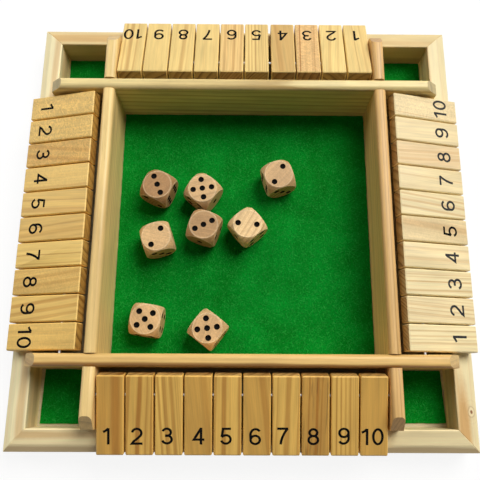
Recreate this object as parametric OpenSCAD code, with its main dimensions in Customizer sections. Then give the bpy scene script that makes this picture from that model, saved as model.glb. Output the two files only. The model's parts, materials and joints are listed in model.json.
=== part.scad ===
// Shut the box game for four players, as a wooden tray with a row of hinged number tiles
// along each side. Each tile is drilled for a steel rod. It lies outward on the frame while
// it is open, and it flips up and over onto the rail beside the dice tray when it is shut.
// The origin is at the middle of the underside. Seen from above, the front row is at -Y.

/* [Frame] */
// Width of a frame member, seen from above
member_width = 14.4; // [12:0.1:17]
// Height of a member at its inner top edge
frame_height = 26.5; // [20:0.5:40]
// Slope of a member's top, which a tile at rest lies on, in degrees
bed_slope = 15.4; // [8:0.1:20]
// Width of the steeper bevel along a member's outer edge
bevel_width = 4.9; // [2:0.1:8]
// Slope of that bevel in degrees
bevel_slope = 30; // [20:1:60]
// Width of the easing along a member's inner top edge
inner_ease = 0.6; // [0.2:0.1:1.5]
// How far the base panel reaches under each member
rebate_width = 5; // [2:0.5:9]

/* [Floor] */
// Thickness of the base panel
panel_thickness = 4; // [3:0.5:8]
// Thickness of the felt on the panel
felt_thickness = 1; // [0.5:0.1:2]
// Gap around the felt in the dice tray
tray_felt_gap = 0.3; // [0.1:0.1:2]
// Gap around the felt in each corner well
well_felt_gap = 1.2; // [0.2:0.1:4]

/* [Rails] */
// Width of a rail
rail_width = 8; // [7:0.1:12]
// Height of a rail's top above the frame's inner top edge
rail_rise = 18.5; // [16:0.5:26]
// Radius along a rail's top edges
rail_round = 3; // [1:0.1:3.4]
// Height of the slant at each end of a rail
slant_height = 7.6; // [3:0.1:10]
// Length of that slant, along the rail
slant_length = 8.2; // [3:0.1:12]
// Clearance on each side of a rail where two rails cross
lap_clearance = 0.15; // [0.05:0.05:0.3]

/* [Tiles] */
// Length of a tile
tile_length = 49.1; // [42:0.1:56]
// Width of a tile
tile_width = 17; // [15:0.1:20]
// Thickness of a tile
tile_thickness = 8.8; // [7:0.1:10]
// Width of the easing along each edge of a tile
tile_ease = 0.7; // [0.3:0.1:1.2]
// Gap between neighbouring tiles of the left and right rows
tile_gap = 0.76; // [0.5:0.02:2]
// Gap between an end tile of the left or right row and the rail beside it
side_end_gap = 1.9; // [1:0.1:4]
// Gap between an end tile of the front row and the rail beside it
front_end_gap = 1.1; // [0.5:0.1:3]
// Gap between an end tile of the back row and the rail beside it
back_end_gap = 0.8; // [0.5:0.1:3]
// How much wider the gap between back tiles 4 and 5 is than that row's other gaps
back_split = 1; // [0:0.1:1.5]
// How far a tile's outer end reaches past the frame
tile_overhang = 0.9; // [0:0.1:4]
// Gap under a tile where it lies on the frame
rest_gap = 0.05; // [0.02:0.01:0.2]

/* [Hinge rods] */
// Diameter of a rod
rod_diameter = 2; // [1.5:0.1:3]
// Distance along a tile from its inner end to the rod
rod_inset = 12.75; // [8:0.05:14]
// Distance from a rod to the rail that its tiles shut onto
rod_setback = 16.4; // [15.8:0.1:20]
// Clearance between a rod and its holes, on the radius
rod_clearance = 0.05; // [0.01:0.01:0.1]
// Depth of a rod's socket in a rail
socket_depth = 4; // [2:0.1:5]
// Diameter of the wider mouth of that socket
mouth_diameter = 3.6; // [3.2:0.1:5]
// Depth of that mouth
mouth_depth = 1; // [0.5:0.1:1.8]
// Gap between a rod's end and the bottom of its socket
rod_end_gap = 0.2; // [0.1:0.1:1]

/* [Dice] */
// Width of a die across its flat faces
die_size = 20.5; // [16:0.5:24]
// Radius of the sphere that rounds a die's corners
die_round = 14.15; // [13.2:0.05:15.5]

/* [Hidden] */
$fn = 96;
tiles_per_row = 10;
split_after = 4;
over = 1;

row_length = tiles_per_row * tile_width + (tiles_per_row - 1) * tile_gap;
tray_half = row_length / 2 + side_end_gap;
rail_middle = tray_half + rail_width / 2;
rail_outer = tray_half + rail_width;

// A row, measured outward from the middle of the tray
rod_reach = rail_outer + rod_setback;
tile_reach = rod_reach
    + (tile_length - rod_inset) * cos(bed_slope)
    + tile_thickness / 2 * sin(bed_slope);
frame_half = tile_reach - tile_overhang;
frame_inner = frame_half - member_width;
well_middle = (rail_outer + frame_inner) / 2;
well_width = frame_inner - rail_outer;

// Heights above the underside
felt_top = panel_thickness + felt_thickness;
crest_height = frame_height - (member_width - bevel_width) * tan(bed_slope);
edge_height = crest_height - bevel_width * tan(bevel_slope);
ease_height = frame_height - inner_ease * tan(bed_slope);
rail_top = frame_height + rail_rise;
lap_height = (panel_thickness + rail_top) / 2;
rod_height = frame_height
    + (frame_inner - rod_reach) * tan(bed_slope)
    + (tile_thickness / 2 + rest_gap) / cos(bed_slope);
hole_diameter = rod_diameter + 2 * rod_clearance;
rod_length = 2 * (tray_half + socket_depth - rod_end_gap);

// Turn about Z that takes the back side, at +Y, to each side
SIDE_FRONT = 180;
SIDE_RIGHT = -90;
SIDE_BACK = 0;
SIDE_LEFT = 90;

// Each thrown die: its middle in die widths from the tray's front left corner, and its turn
// in degrees about Z
DIE_PLACES = [
    [1.45, 5.70, -22.5],
    [2.99, 5.57, -36],
    [5.59, 6.10, 18],
    [3.06, 4.29, -18.8],
    [4.53, 4.33, 39.8],
    [1.49, 3.87, 17.4],
    [1.26, 1.13, -7.8],
    [3.26, 0.85, -37.2]
];

PINE = "#e6c48c";
PANEL_WOOD = "#d2b078";
FELT_GREEN = "#067a22";
RAIL_PINE = "#ecc27a";
RAIL_PINK = "#d9ab84";
STEEL = "#c3c6c9";
FRONT_WOOD = "#c8924e";
RIGHT_WOOD = "#e2c596";
BACK_WOOD = "#d9ae6a";
LEFT_WOOD = "#dba653";
DIE_WOOD = "#d8ab74";

// Extrudes an outline drawn in (Y, Z) along X, with its middle at X = 0
module along_x(length) {
    rotate([90, 0, 90])
        translate([0, 0, -length / 2])
            linear_extrude(length)
                children();
}

// A rectangle about the origin with its four corners cut off
module eased_rectangle(width, height, ease) {
    x = width / 2;
    y = height / 2;
    polygon([
        [-x + ease, -y], [x - ease, -y], [x, -y + ease], [x, y - ease],
        [x - ease, y], [-x + ease, y], [-x, y - ease], [-x, -y + ease]
    ]);
}

// One mitred side of the frame, grooved underneath for the base panel. Its top falls
// outward, first at the slope that the tiles lie at and then along the bevel.
module frame_member(side) {
    color(PINE)
        rotate([0, 0, side])
            intersection() {
                along_x(2 * frame_half + 2 * over)
                    polygon([
                        [frame_inner + rebate_width, 0],
                        [frame_half, 0],
                        [frame_half, edge_height],
                        [frame_half - bevel_width, crest_height],
                        [frame_inner + inner_ease, ease_height],
                        [frame_inner, ease_height - inner_ease],
                        [frame_inner, panel_thickness],
                        [frame_inner + rebate_width, panel_thickness]
                    ]);
                linear_extrude(frame_height + over)
                    polygon([
                        [-frame_inner, frame_inner],
                        [frame_inner, frame_inner],
                        [frame_half, frame_half],
                        [-frame_half, frame_half]
                    ]);
            }
}

// The plywood panel, glued into the rebate under the four members
module base_panel() {
    panel_half = frame_inner + rebate_width;
    color(PANEL_WOOD)
        translate([-panel_half, -panel_half, 0])
            cube([2 * panel_half, 2 * panel_half, panel_thickness]);
}

// A square of felt on the panel, about the origin in plan
module felt_square(width) {
    color(FELT_GREEN)
        translate([-width / 2, -width / 2, panel_thickness])
            cube([width, width, felt_thickness]);
}

// The felt that the dice roll on, between the four rails
module felt_tray() {
    felt_square(2 * (tray_half - tray_felt_gap));
}

// The four small squares of felt in the corner wells, between the rails and the frame
module felt_wells() {
    for (x = [-well_middle, well_middle], y = [-well_middle, well_middle])
        translate([x, y, 0])
            felt_square(well_width - 2 * well_felt_gap);
}

// A rail's cross-section in (Y, Z), square below and round along both top edges
module rail_section() {
    round_middle = rail_width / 2 - rail_round;
    translate([-rail_width / 2, panel_thickness])
        square([rail_width, rail_top - rail_round - panel_thickness]);
    translate([-round_middle, panel_thickness])
        square([2 * round_middle, rail_top - panel_thickness]);
    for (sign = [-1, 1])
        translate([sign * round_middle, rail_top - rail_round])
            circle(rail_round);
}

// The outline of a rail seen from the tray, in (X, Z), with a slant at each end
module rail_outline() {
    polygon([
        [-frame_inner, panel_thickness],
        [frame_inner, panel_thickness],
        [frame_inner, rail_top - slant_height],
        [frame_inner - slant_length, rail_top],
        [-frame_inner + slant_length, rail_top],
        [-frame_inner, rail_top - slant_height]
    ]);
}

// One rail, with the two sockets that hold the ends of the rods that run across it. Where
// it crosses another rail it is notched over that rail (over_lap) or under it.
module rail(side, tint, over_lap) {
    notch_width = rail_width + 2 * lap_clearance;
    notch_base = over_lap ? panel_thickness - over : lap_height;
    notch_height = over_lap ? lap_height - notch_base : rail_top + over - lap_height;
    color(tint)
        rotate([0, 0, side])
            difference() {
                intersection() {
                    translate([0, rail_middle, 0])
                        along_x(2 * frame_inner)
                            rail_section();
                    translate([0, rail_outer + over, 0])
                        rotate([90, 0, 0])
                            linear_extrude(rail_width + 2 * over)
                                rail_outline();
                }
                for (sign = [-1, 1]) {
                    translate([sign * rail_middle - notch_width / 2, tray_half - over, notch_base])
                        cube([notch_width, rail_width + 2 * over, notch_height]);
                    translate([sign * rod_reach, tray_half, rod_height])
                        rotate([90, 0, 0]) {
                            translate([0, 0, -socket_depth])
                                cylinder(d = hole_diameter, h = socket_depth + over);
                            translate([0, 0, -mouth_depth])
                                cylinder(d = mouth_diameter, h = mouth_depth + over);
                        }
                }
            }
}

// The four steel rods, one through each row of tiles
module hinge_rods() {
    color(STEEL)
        for (side = [SIDE_FRONT, SIDE_RIGHT, SIDE_BACK, SIDE_LEFT])
            rotate([0, 0, side])
                translate([-rod_length / 2, rod_reach, rod_height])
                    rotate([0, 90, 0])
                        cylinder(d = rod_diameter, h = rod_length);
}

// A tile block about its own middle, with every edge eased
module tile_block() {
    intersection() {
        translate([0, 0, -tile_thickness / 2])
            linear_extrude(tile_thickness)
                eased_rectangle(tile_width, tile_length, tile_ease);
        along_x(tile_width)
            eased_rectangle(tile_length, tile_thickness, tile_ease);
        translate([0, tile_length / 2, 0])
            rotate([90, 0, 0])
                linear_extrude(tile_length)
                    eased_rectangle(tile_width, tile_thickness, tile_ease);
    }
}

// Tile of one side's row, open, drilled for its rod near its inner end. Number 1 is at the
// left of the player who sits at that side and looks at the tray. The row is spread on its
// rod until its end tiles are end_gap away from the rails beside them.
module tile(side, number, tint, end_gap, split = 0) {
    first_edge = tray_half - end_gap;
    spare = 2 * first_edge - tiles_per_row * tile_width - split;
    pitch = tile_width + spare / (tiles_per_row - 1);
    place = first_edge - tile_width / 2
        - (number - 1) * pitch
        - (number > split_after ? split : 0);
    color(tint)
        rotate([0, 0, side])
            translate([place, rod_reach, rod_height])
                rotate([-bed_slope, 0, 0])
                    difference() {
                        translate([0, tile_length / 2 - rod_inset, 0])
                            tile_block();
                        translate([-tile_width / 2 - over, 0, 0])
                            rotate([0, 90, 0])
                                cylinder(d = hole_diameter, h = tile_width + 2 * over);
                    }
}

module front_tile(number) {
    tile(SIDE_FRONT, number, FRONT_WOOD, front_end_gap);
}

module right_tile(number) {
    tile(SIDE_RIGHT, number, RIGHT_WOOD, side_end_gap);
}

module back_tile(number) {
    tile(SIDE_BACK, number, BACK_WOOD, back_end_gap, back_split);
}

module left_tile(number) {
    tile(SIDE_LEFT, number, LEFT_WOOD, side_end_gap);
}

// A wooden die, a cube whose corners and edges are turned off by a sphere
module die(number) {
    place = DIE_PLACES[number - 1];
    color(DIE_WOOD)
        translate([
            -tray_half + place[0] * die_size,
            -tray_half + place[1] * die_size,
            felt_top + die_size / 2
        ])
            rotate([0, 0, place[2]])
                intersection() {
                    cube(die_size, center = true);
                    sphere(die_round);
                }
}

frame_member(SIDE_FRONT);  // frame_front
frame_member(SIDE_RIGHT);  // frame_right
frame_member(SIDE_BACK);  // frame_back
frame_member(SIDE_LEFT);  // frame_left
base_panel();
felt_tray();
felt_wells();
rail(SIDE_FRONT, RAIL_PINE, true);  // rail_front
rail(SIDE_RIGHT, RAIL_PINK, false);  // rail_right
rail(SIDE_BACK, RAIL_PINE, true);  // rail_back
rail(SIDE_LEFT, RAIL_PINE, false);  // rail_left
hinge_rods();
front_tile(1);  // front_tile_1
front_tile(2);  // front_tile_2
front_tile(3);  // front_tile_3
front_tile(4);  // front_tile_4
front_tile(5);  // front_tile_5
front_tile(6);  // front_tile_6
front_tile(7);  // front_tile_7
front_tile(8);  // front_tile_8
front_tile(9);  // front_tile_9
front_tile(10);  // front_tile_10
right_tile(1);  // right_tile_1
right_tile(2);  // right_tile_2
right_tile(3);  // right_tile_3
right_tile(4);  // right_tile_4
right_tile(5);  // right_tile_5
right_tile(6);  // right_tile_6
right_tile(7);  // right_tile_7
right_tile(8);  // right_tile_8
right_tile(9);  // right_tile_9
right_tile(10);  // right_tile_10
back_tile(1);  // back_tile_1
back_tile(2);  // back_tile_2
back_tile(3);  // back_tile_3
back_tile(4);  // back_tile_4
back_tile(5);  // back_tile_5
back_tile(6);  // back_tile_6
back_tile(7);  // back_tile_7
back_tile(8);  // back_tile_8
back_tile(9);  // back_tile_9
back_tile(10);  // back_tile_10
left_tile(1);  // left_tile_1
left_tile(2);  // left_tile_2
left_tile(3);  // left_tile_3
left_tile(4);  // left_tile_4
left_tile(5);  // left_tile_5
left_tile(6);  // left_tile_6
left_tile(7);  // left_tile_7
left_tile(8);  // left_tile_8
left_tile(9);  // left_tile_9
left_tile(10);  // left_tile_10
die(1);  // die_1
die(2);  // die_2
die(3);  // die_3
die(4);  // die_4
die(5);  // die_5
die(6);  // die_6
die(7);  // die_7
die(8);  // die_8
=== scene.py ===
"""Looks of the shut the box game: woods, felt, painted numbers, drilled dice, light, camera."""
import json
import random
from collections import namedtuple
from math import cos, hypot, pi, radians, sin

import bpy
import bmesh
from mathutils import Euler, Matrix, Vector


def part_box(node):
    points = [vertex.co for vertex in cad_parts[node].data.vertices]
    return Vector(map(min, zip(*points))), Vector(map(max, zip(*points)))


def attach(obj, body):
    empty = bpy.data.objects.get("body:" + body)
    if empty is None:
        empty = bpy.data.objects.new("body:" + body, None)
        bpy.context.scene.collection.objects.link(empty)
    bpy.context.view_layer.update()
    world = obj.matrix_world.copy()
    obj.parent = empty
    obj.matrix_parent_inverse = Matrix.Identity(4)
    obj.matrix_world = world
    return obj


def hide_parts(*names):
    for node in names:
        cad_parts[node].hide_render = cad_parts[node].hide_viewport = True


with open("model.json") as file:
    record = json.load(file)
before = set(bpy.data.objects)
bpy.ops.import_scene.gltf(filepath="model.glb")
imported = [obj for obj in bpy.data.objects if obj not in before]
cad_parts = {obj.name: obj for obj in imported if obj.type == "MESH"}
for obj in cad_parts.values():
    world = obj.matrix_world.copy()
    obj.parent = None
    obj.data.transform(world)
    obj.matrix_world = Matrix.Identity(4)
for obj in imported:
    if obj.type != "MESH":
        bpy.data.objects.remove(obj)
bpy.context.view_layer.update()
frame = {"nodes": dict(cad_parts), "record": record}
bodies = frame["record"]["behaviour"]["bodies"]
body_of_node = {node: body for body, nodes in bodies.items() for node in nodes}

MM = 0.001

# Each side: the turn about Z that takes the back side, at +Y, to it
SIDES = {"front": pi, "right": -pi / 2, "back": 0.0, "left": pi / 2}
TILES_PER_ROW = 10
TILE_SLOPE = radians(15.4)

# The painted numbers, their shifts in mm: inward by row, and across in the front row as its
# player sees them. The right row is printed in grey but for its 5.
DIGIT_HEIGHT = 10.3 * MM
DIGIT_WIDTH = 11.4 * MM
DIGIT_INSET = 7.0 * MM
DIGIT_LIFT = 0.03 * MM
DIGIT_DEPTH = 0.06 * MM
DIGIT_STRAY = 0.25 * MM
INWARD_SHIFTS = {"front": 0, "right": 1.3, "back": 0, "left": 0.8}
FRONT_SHIFTS = (-1.6, -1.5, -1.0, 0.7, -0.7, -0.9, -2.2, -1.2, -0.6, -1.6)
GREY_SIDE = "right"
BLACK_ON_GREY_SIDE = 5

# A digit 1 high: how wide and thick its strokes are, how far apart the digits of 10 are, and the
# cosine below which a corner's mitre grows no longer
STROKE_WIDTH = 0.136
STROKE_THICKNESS = 0.2
TEN_SPACING = 0.66
MITRE_LIMIT = 0.3

# The dice: their pips, and how far from the middle of a face these lie, the ball that rounds the
# corners, and how wide the pale rim of a flat face is, part wear and part painted highlight
PIP_DIAMETER = 4.0 * MM
PIP_DEPTH = 1.2 * MM
PIP_OFFSET = 4.56 * MM
DIE_ROUND = 14.15 * MM
RIM_WIDTH = 0.55 * MM

# How far edges are eased, how near points are welded for that, and the angles from which an
# edge is eased or stays sharp
TILE_EDGE = 0.7 * MM
RAIL_EDGE = 0.5 * MM
FRAME_EDGE = 0.35 * MM
WELD_REACH = 0.001 * MM
EASED_FROM = radians(30)
DIE_SHARP_FROM = radians(28)
FELT_SHARP_FROM = radians(60)

# The wells: how far from the rails their felt begins, and for each well its side of the tray along
# X and Y, and in mm its felt's gaps to the frame there and how far its outer edge splays out at
# the front. Then the felt's mesh cells, and how far its cut edges wander.
WELL_INNER_GAP = 0.5 * MM
WELLS = {"front_left": (-1, -1, 1.9, 1.5, 0.5), "front_right": (1, -1, 1.1, 2.6, 0.8),
         "back_left": (-1, 1, 0.4, 0.4, 0.0), "back_right": (1, 1, 0.4, 0.4, 0.0)}
FELT_STEP = 3 * MM
FELT_FRAY = 0.22 * MM

# The frame's members: how far out the line is that their marks are measured from, and how far
# they reach over the base panel
FRAME_AXIS = 143.5 * MM
FRAME_REBATE = 5 * MM

# The light: a large soft key high at the back right, and little else. Each lamp's place, size,
# power and colour.
LAMPS = {"key": ((1.20, 1.32, 2.25), 2.0, 86.0, (1.0, 0.975, 0.93)),
         "fill": ((-1.15, 0.75, 0.95), 0.9, 6.5, (1.0, 0.985, 0.96))}
AMBIENT_COLOUR = (1.0, 0.985, 0.96)
AMBIENT = 0.035

# The floor: half its width, how far it lies below the object, its colour under the light, and
# the strength and share of the white that the camera sees over that
FLOOR_HALF = 3.0
FLOOR_DROP = 0.2 * MM
FLOOR_COLOUR = (0.84, 0.84, 0.84, 1)
FLOOR_GLOW = 1.06
FLOOR_GLOW_SHARE = 0.84

# The camera, as fitted to the photograph
CAMERA_PLACE = Vector((2.13, -111.2, 406.0)) * MM
CAMERA_TILT = radians(14.63)
CAMERA_YAW = radians(-1.54)
CAMERA_ROLL = radians(1.82)
CAMERA_LENS = 43.31
CAMERA_NEAR = 0.01
CAMERA_SHIFT = (-0.0223, -0.0040)


def srgb(red, green, blue):
    """A colour as it looks on a screen, 0 to 255 each, in Blender's linear values."""
    def linear(level):
        level /= 255
        return level / 12.92 if level <= 0.04045 else ((level + 0.055) / 1.055) ** 2.4
    return (linear(red), linear(green), linear(blue), 1.0)


# Woods: the pale colour of early growth and the dark colour of late growth, as on a screen
WOODS = {
    "front": ((236, 192, 100), (160, 100, 26)),
    "right": ((246, 230, 180), (198, 150, 84)),
    "back": ((242, 214, 140), (168, 112, 46)),
    "left": ((242, 205, 118), (176, 118, 40)),
    "frame_front": ((255, 237, 186), (182, 156, 116)),
    "frame_right": ((246, 232, 184), (222, 180, 122)),
    "frame_back": ((230, 214, 160), (206, 170, 116)),
    "frame_left": ((255, 242, 194), (222, 180, 120)),
    "rail_front": ((240, 200, 124), (176, 126, 66)),
    "rail_back": ((244, 224, 160), (192, 160, 98)),
    "rail_left": ((250, 220, 150), (208, 164, 98)),
    "rail_right": ((234, 192, 124), (184, 134, 74)),
    "panel": ((208, 196, 162), (176, 158, 122)),
    "die": ((240, 206, 150), (154, 108, 64)),
}
# Cut ends drink in more varnish: how much of the colour they keep, with painted shade and light
# The tints of the tiles' and rails' ends differ by side as their ends face the lamps or lie in shade
END_TINTS_AND_PAINTED_SHADE = {"front": (0.80, 0.82, 1.10), "right": (0.66, 0.58, 0.46),
             "back": (0.49, 0.43, 0.34), "left": (0.62, 0.55, 0.44)}
RAIL_END_TINTS_AND_PAINTED_SHADE = {"front": (0.80, 0.83, 0.92), "right": (0.64, 0.59, 0.54),
                  "back": (0.60, 0.58, 0.57), "left": (0.66, 0.61, 0.56)}
FRAME_END_TINT = (0.86, 0.82, 0.74)
PANEL_END_TINT = (0.70, 0.62, 0.50)
DIE_END_TINT = (0.92, 0.86, 0.78)
BLUSH = srgb(238, 176, 130)
STREAK_BROWN = srgb(84, 52, 16)
RIM_WEAR_AND_HIGHLIGHT_PALE = srgb(255, 232, 190)

# The other colours: felt, its shade between the fibres, its loose fibres and their sheen, then
# steel and inks, each as two tones that they vary between
FELT_TONES = (srgb(2, 116, 26), srgb(4, 148, 44))
FELT_DEEP = srgb(1, 74, 14)
FELT_HAIR = srgb(60, 190, 84)
FELT_SHEEN = srgb(60, 200, 80)
STEEL_TONES = (srgb(170, 172, 174), srgb(214, 214, 212))
BLACK_INK = (srgb(4, 4, 4), srgb(18, 14, 10))
GREY_INK = (srgb(42, 42, 44), srgb(74, 74, 74))
PIP_INK = (srgb(3, 3, 3), srgb(12, 10, 8))

# How the growth rings lie: their spacing, the strength of their dark lines, how far off the
# middle of the tree is, and how much the lines waver
Grain = namedtuple("Grain", "spacing contrast pith wave")
PLAIN = Grain(5.5 * MM, 0.16, 60 * MM, 0.5 * MM)
FINE = Grain(2.1 * MM, 0.50, 80 * MM, 0.15 * MM)
BROAD = Grain(4.6 * MM, 0.22, 50 * MM, 0.45 * MM)
MILLED = Grain(9.0 * MM, 0.12, 120 * MM, 1.2 * MM)
SAWN = Grain(5.0 * MM, 0.60, 90 * MM, 0.7 * MM)
PEELED = Grain(14 * MM, 0.3, 120 * MM, 3 * MM)
DIE_PLAIN = Grain(1.8 * MM, 0.08, 60 * MM, 0.2 * MM)
DIE_STRIPED = Grain(3.2 * MM, 0.45, 60 * MM, 0.5 * MM)

# How far a tree's axis may slant, in degrees, and how far its ring spacing may differ
TREE_SLANT = 1.5
SPACING_SPREAD = (0.85, 1.15)
# How often each noise of the wood changes per metre, of which Y is along the grain, and how far
# the noises move from one seed to the next
WANDER_SCALE = (60, 14, 60)
THIN_FIBRE_SCALE = (1500, 45, 1500)
WIDE_FIBRE_SCALE = (420, 14, 420)
CLOUD_SCALE = (110, 26, 110)
STREAK_SCALE = (620, 30, 620)
FIGURE_SCALE = (230, 290, 230)
SEED_SHIFT = (0.37, 0.91, 0.53)
SEED_STEP = 0.731
SEED_WRAP = 97
# How far from the middle broad lines may reach, and how much of each is its dark core
LINE_REACH = 16 * MM
LINE_CORE = 0.45
# How far each colour covers the wood, and how far late growth and pale edges change it
BLUSH_SHARE = 0.5
STREAK_SHARE = 0.55
KNOT_PALE_SHARE = 0.6
# The pale rims of the dice and the pale edges of the tiles are part wear, part painted highlight
RIM_WEAR_AND_HIGHLIGHT_SHARE = 0.4
LATE_END_GAIN = 0.40
EDGE_WEAR_AND_HIGHLIGHT_GAIN = 1.1
TILE_EDGE_WEAR_AND_HIGHLIGHT = 0.65
# How far the tone swings with clouds, with clouds where the fibres are strong, and with figure
CLOUD_SWING = 0.25
THREAD_CLOUD_SWING = 0.2
FIGURE_SWING = 0.34
# How far a face has to look along the grain to be a cut end (the rails' are cut on a slant) and
# how far inward to be an inner side, and how strong the lines of a cut end are
END_FROM = 0.80
RAIL_END_FROM = 0.42
END_SOFTNESS = 0.12
INWARD_FROM = 0.9
END_LINES = 0.9
RAIL_END_LINES = 0.4
# The varnish, and the relief of the grain under it
VARNISH_IOR = 1.45
FIBRE_ROUGHNESS = 0.25
ROUGHNESS_DROP = 0.12
RING_RELIEF = 0.4
FIGURE_RELIEF = 2.0
GRAIN_BUMP = 0.3
GRAIN_DEPTH = 0.18 * MM

# A piece: its grain, how brown and how pink it is, the slant of its lines in degrees, how
# strong its curly figure and dark streaks are, the direction of the middle of its tree, in
# degrees up from local X, its broad lines as (place across, half width, strength) in mm, and
# how strong its fibres are. A tile's places across are as the player of that row sees them.
Look = namedtuple("Look", "grain brown blush slant figure streaks lean lines thread",
                  defaults=(PLAIN, 0.1, 0, 0, 0, 0, -35, (), 0.75))
TILE_LOOKS = {"front": [
    Look(brown=0.42, lines=((3.6, 3.8, 0.6),)),
    Look(BROAD, 0.18, lines=((-7.4, 1.7, 0.6), (-0.3, 1.8, 0.75), (4.2, 0.7, 0.4), (7.6, 1.2, 0.6))),
    Look(FINE, -0.05, slant=-3.5,
         lines=((-5.4, 1.0, 0.45), (-1.6, 1.5, 0.55), (2.6, 1.8, 0.5), (6.6, 0.8, 0.3))),
    Look(brown=0.4, slant=-5, lines=((5.0, 3.0, 0.2),)),
    Look(BROAD, 0.06, lines=((-7.6, 1.0, 0.5), (-2.2, 2.0, 0.66), (7.2, 1.6, 0.55))),
    Look(brown=0.36, slant=-6, lines=((5.6, 2.6, 0.45),)),
    Look(BROAD, 0.06, slant=2, lines=((-5.8, 0.6, 0.35), (0.8, 2.2, 0.5), (7.6, 1.2, 0.5))),
    Look(BROAD, 0.5, slant=2, streaks=1.0, lines=((-4.2, 0.7, 0.5), (0.8, 1.2, 0.7), (3.4, 0.7, 0.5))),
    Look(FINE, 0.06,
         lines=((-5.2, 0.7, 0.5), (-2.4, 0.6, 0.5), (0.4, 0.5, 0.45), (3.2, 0.8, 0.5),
                (6.2, 0.6, 0.4))),
    Look(brown=0.36, slant=1),
], "right": [
    Look(FINE, 0.02, lines=((-3.0, 0.8, 0.4), (1.2, 0.6, 0.4), (4.6, 0.7, 0.35))),
    Look(FINE, 0.0, blush=0.18, slant=2, lines=((2.4, 1.0, 0.3), (-4.0, 0.8, 0.3))),
    Look(FINE, 0.04, slant=-2, lines=((-5.0, 0.8, 0.4), (0.6, 0.6, 0.5), (5.2, 0.7, 0.4))),
    Look(BROAD, 0.05, blush=0.14, lines=((-2.2, 1.4, 0.3), (4.4, 1.0, 0.3))),
    Look(brown=0.34, figure=0.25, slant=5, lines=((2.0, 3.4, 0.45),)),
    Look(BROAD, 0.12, slant=4, lines=((-4.4, 0.9, 0.45), (0.0, 1.0, 0.5), (4.4, 0.9, 0.5))),
    Look(brown=0.2, slant=2, lines=((1.0, 0.6, 0.25),)),
    Look(BROAD, 0.28, blush=0.3, slant=-3, lines=((-3.0, 1.4, 0.35), (2.6, 1.4, 0.35))),
    Look(brown=0.22, slant=-2),
    Look(brown=0.3, figure=0.5, slant=3, lines=((-6.6, 0.4, 0.5),)),
], "back": [
    Look(brown=0.12, slant=-2, lean=-50, lines=((1.2, 0.3, 0.5), (-4.0, 1.2, 0.25))),
    Look(brown=0.04, slant=5, lean=-130, lines=((2.0, 1.6, 0.35), (-4.0, 0.9, 0.2))),
    Look(BROAD, 0.3, blush=0.6, slant=2, figure=0.8, lean=-15,
         lines=((5.6, 0.6, 0.9), (-5.0, 0.6, 0.4))),
    Look(brown=0.5, slant=-4, lines=((3.2, 2.4, 0.3),)),
    Look(FINE, 0.1, lean=-40,
         lines=((5.6, 0.5, 0.45), (3.6, 0.4, 0.45), (1.0, 0.5, 0.5), (-1.6, 0.4, 0.4),
                (-4.0, 0.5, 0.4), (-6.6, 0.5, 0.35))),
    Look(FINE, 0.1, blush=0.4, lean=-35, lines=((4.8, 0.9, 0.35), (-1.4, 1.4, 0.4), (-6.4, 0.9, 0.35))),
    Look(brown=0.12, lean=-35),
    Look(BROAD, 0.1, slant=2, lean=-30, lines=((-1.0, 2.0, 0.4),)),
    Look(brown=0.12, lean=-60),
    Look(BROAD, 0.06, lean=-45, lines=((5.4, 0.9, 0.4), (1.4, 1.6, 0.5), (-3.0, 0.8, 0.4))),
], "left": [
    Look(brown=0.18, figure=1.0, slant=2),
    Look(brown=0.18, figure=1.0, slant=-2),
    Look(BROAD, 0.44, slant=9, figure=0.9, lines=((-3.2, 1.6, 0.3), (4.2, 2.4, 0.35))),
    Look(brown=0.12, figure=0.3, lines=((6.4, 1.0, 0.3),)),
    Look(brown=0.14, slant=3, lines=((-1.6, 0.5, 0.35), (5.6, 2.2, 0.3))),
    Look(BROAD, 0.22, slant=-2, lean=-60, lines=((-1.8, 0.6, 0.35), (3.0, 2.2, 0.3))),
    Look(brown=-0.06, lean=-20, lines=((0.2, 0.4, 0.65), (6.2, 0.7, 0.35))),
    Look(BROAD, 0.26, slant=-7, figure=0.4, lines=((-3.6, 1.6, 0.3), (1.8, 1.8, 0.3))),
    Look(BROAD, 0.1, slant=-7, lean=-20, lines=((-4.2, 1.8, 0.5), (1.2, 1.6, 0.45), (5.8, 1.2, 0.4))),
    Look(brown=0.2, figure=0.3),
]}

# The frame's members and rails, whose lines are measured outward
MEMBER = Look(MILLED, lean=-15, thread=0.35)
FRAME_LOOKS = {
    # The front member's outer broad line is painted shade on its bevel, which faces the front
    "front": MEMBER._replace(brown=-0.04, lines=((-4.4, 2.0, 0.1), (6.8, 3.6, 0.8))),
    "right": MEMBER._replace(brown=0.08, lines=((-6.4, 1.5, 0.45), (3.2, 0.8, 0.2))),
    "back": MEMBER._replace(brown=0.35, lines=((-3.0, 3.0, 0.45), (4.6, 0.8, 0.2))),
    "left": MEMBER._replace(brown=0.0, slant=-0.5, lines=((-3.6, 3.6, 0.6),)),
}
RAIL_LOOKS = {
    # The front rail's first broad line is painted shade on the front-facing side of its round top
    "front": Look(SAWN._replace(contrast=0.35), 0.06, lean=-8,
                  lines=((3.6, 2.2, 0.9), (-3.4, 0.6, 0.3))),
    "right": Look(FINE, 0.1, lean=-20, lines=((1.4, 0.5, 0.45), (-0.6, 0.4, 0.4), (-2.6, 0.5, 0.3))),
    "back": Look(SAWN._replace(contrast=0.9), 0.05, lean=-84, lines=((-1.6, 0.8, 0.25),)),
    "left": Look(SAWN, 0.1, lean=-76, lines=((1.8, 1.2, 0.3),)),
}
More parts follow.
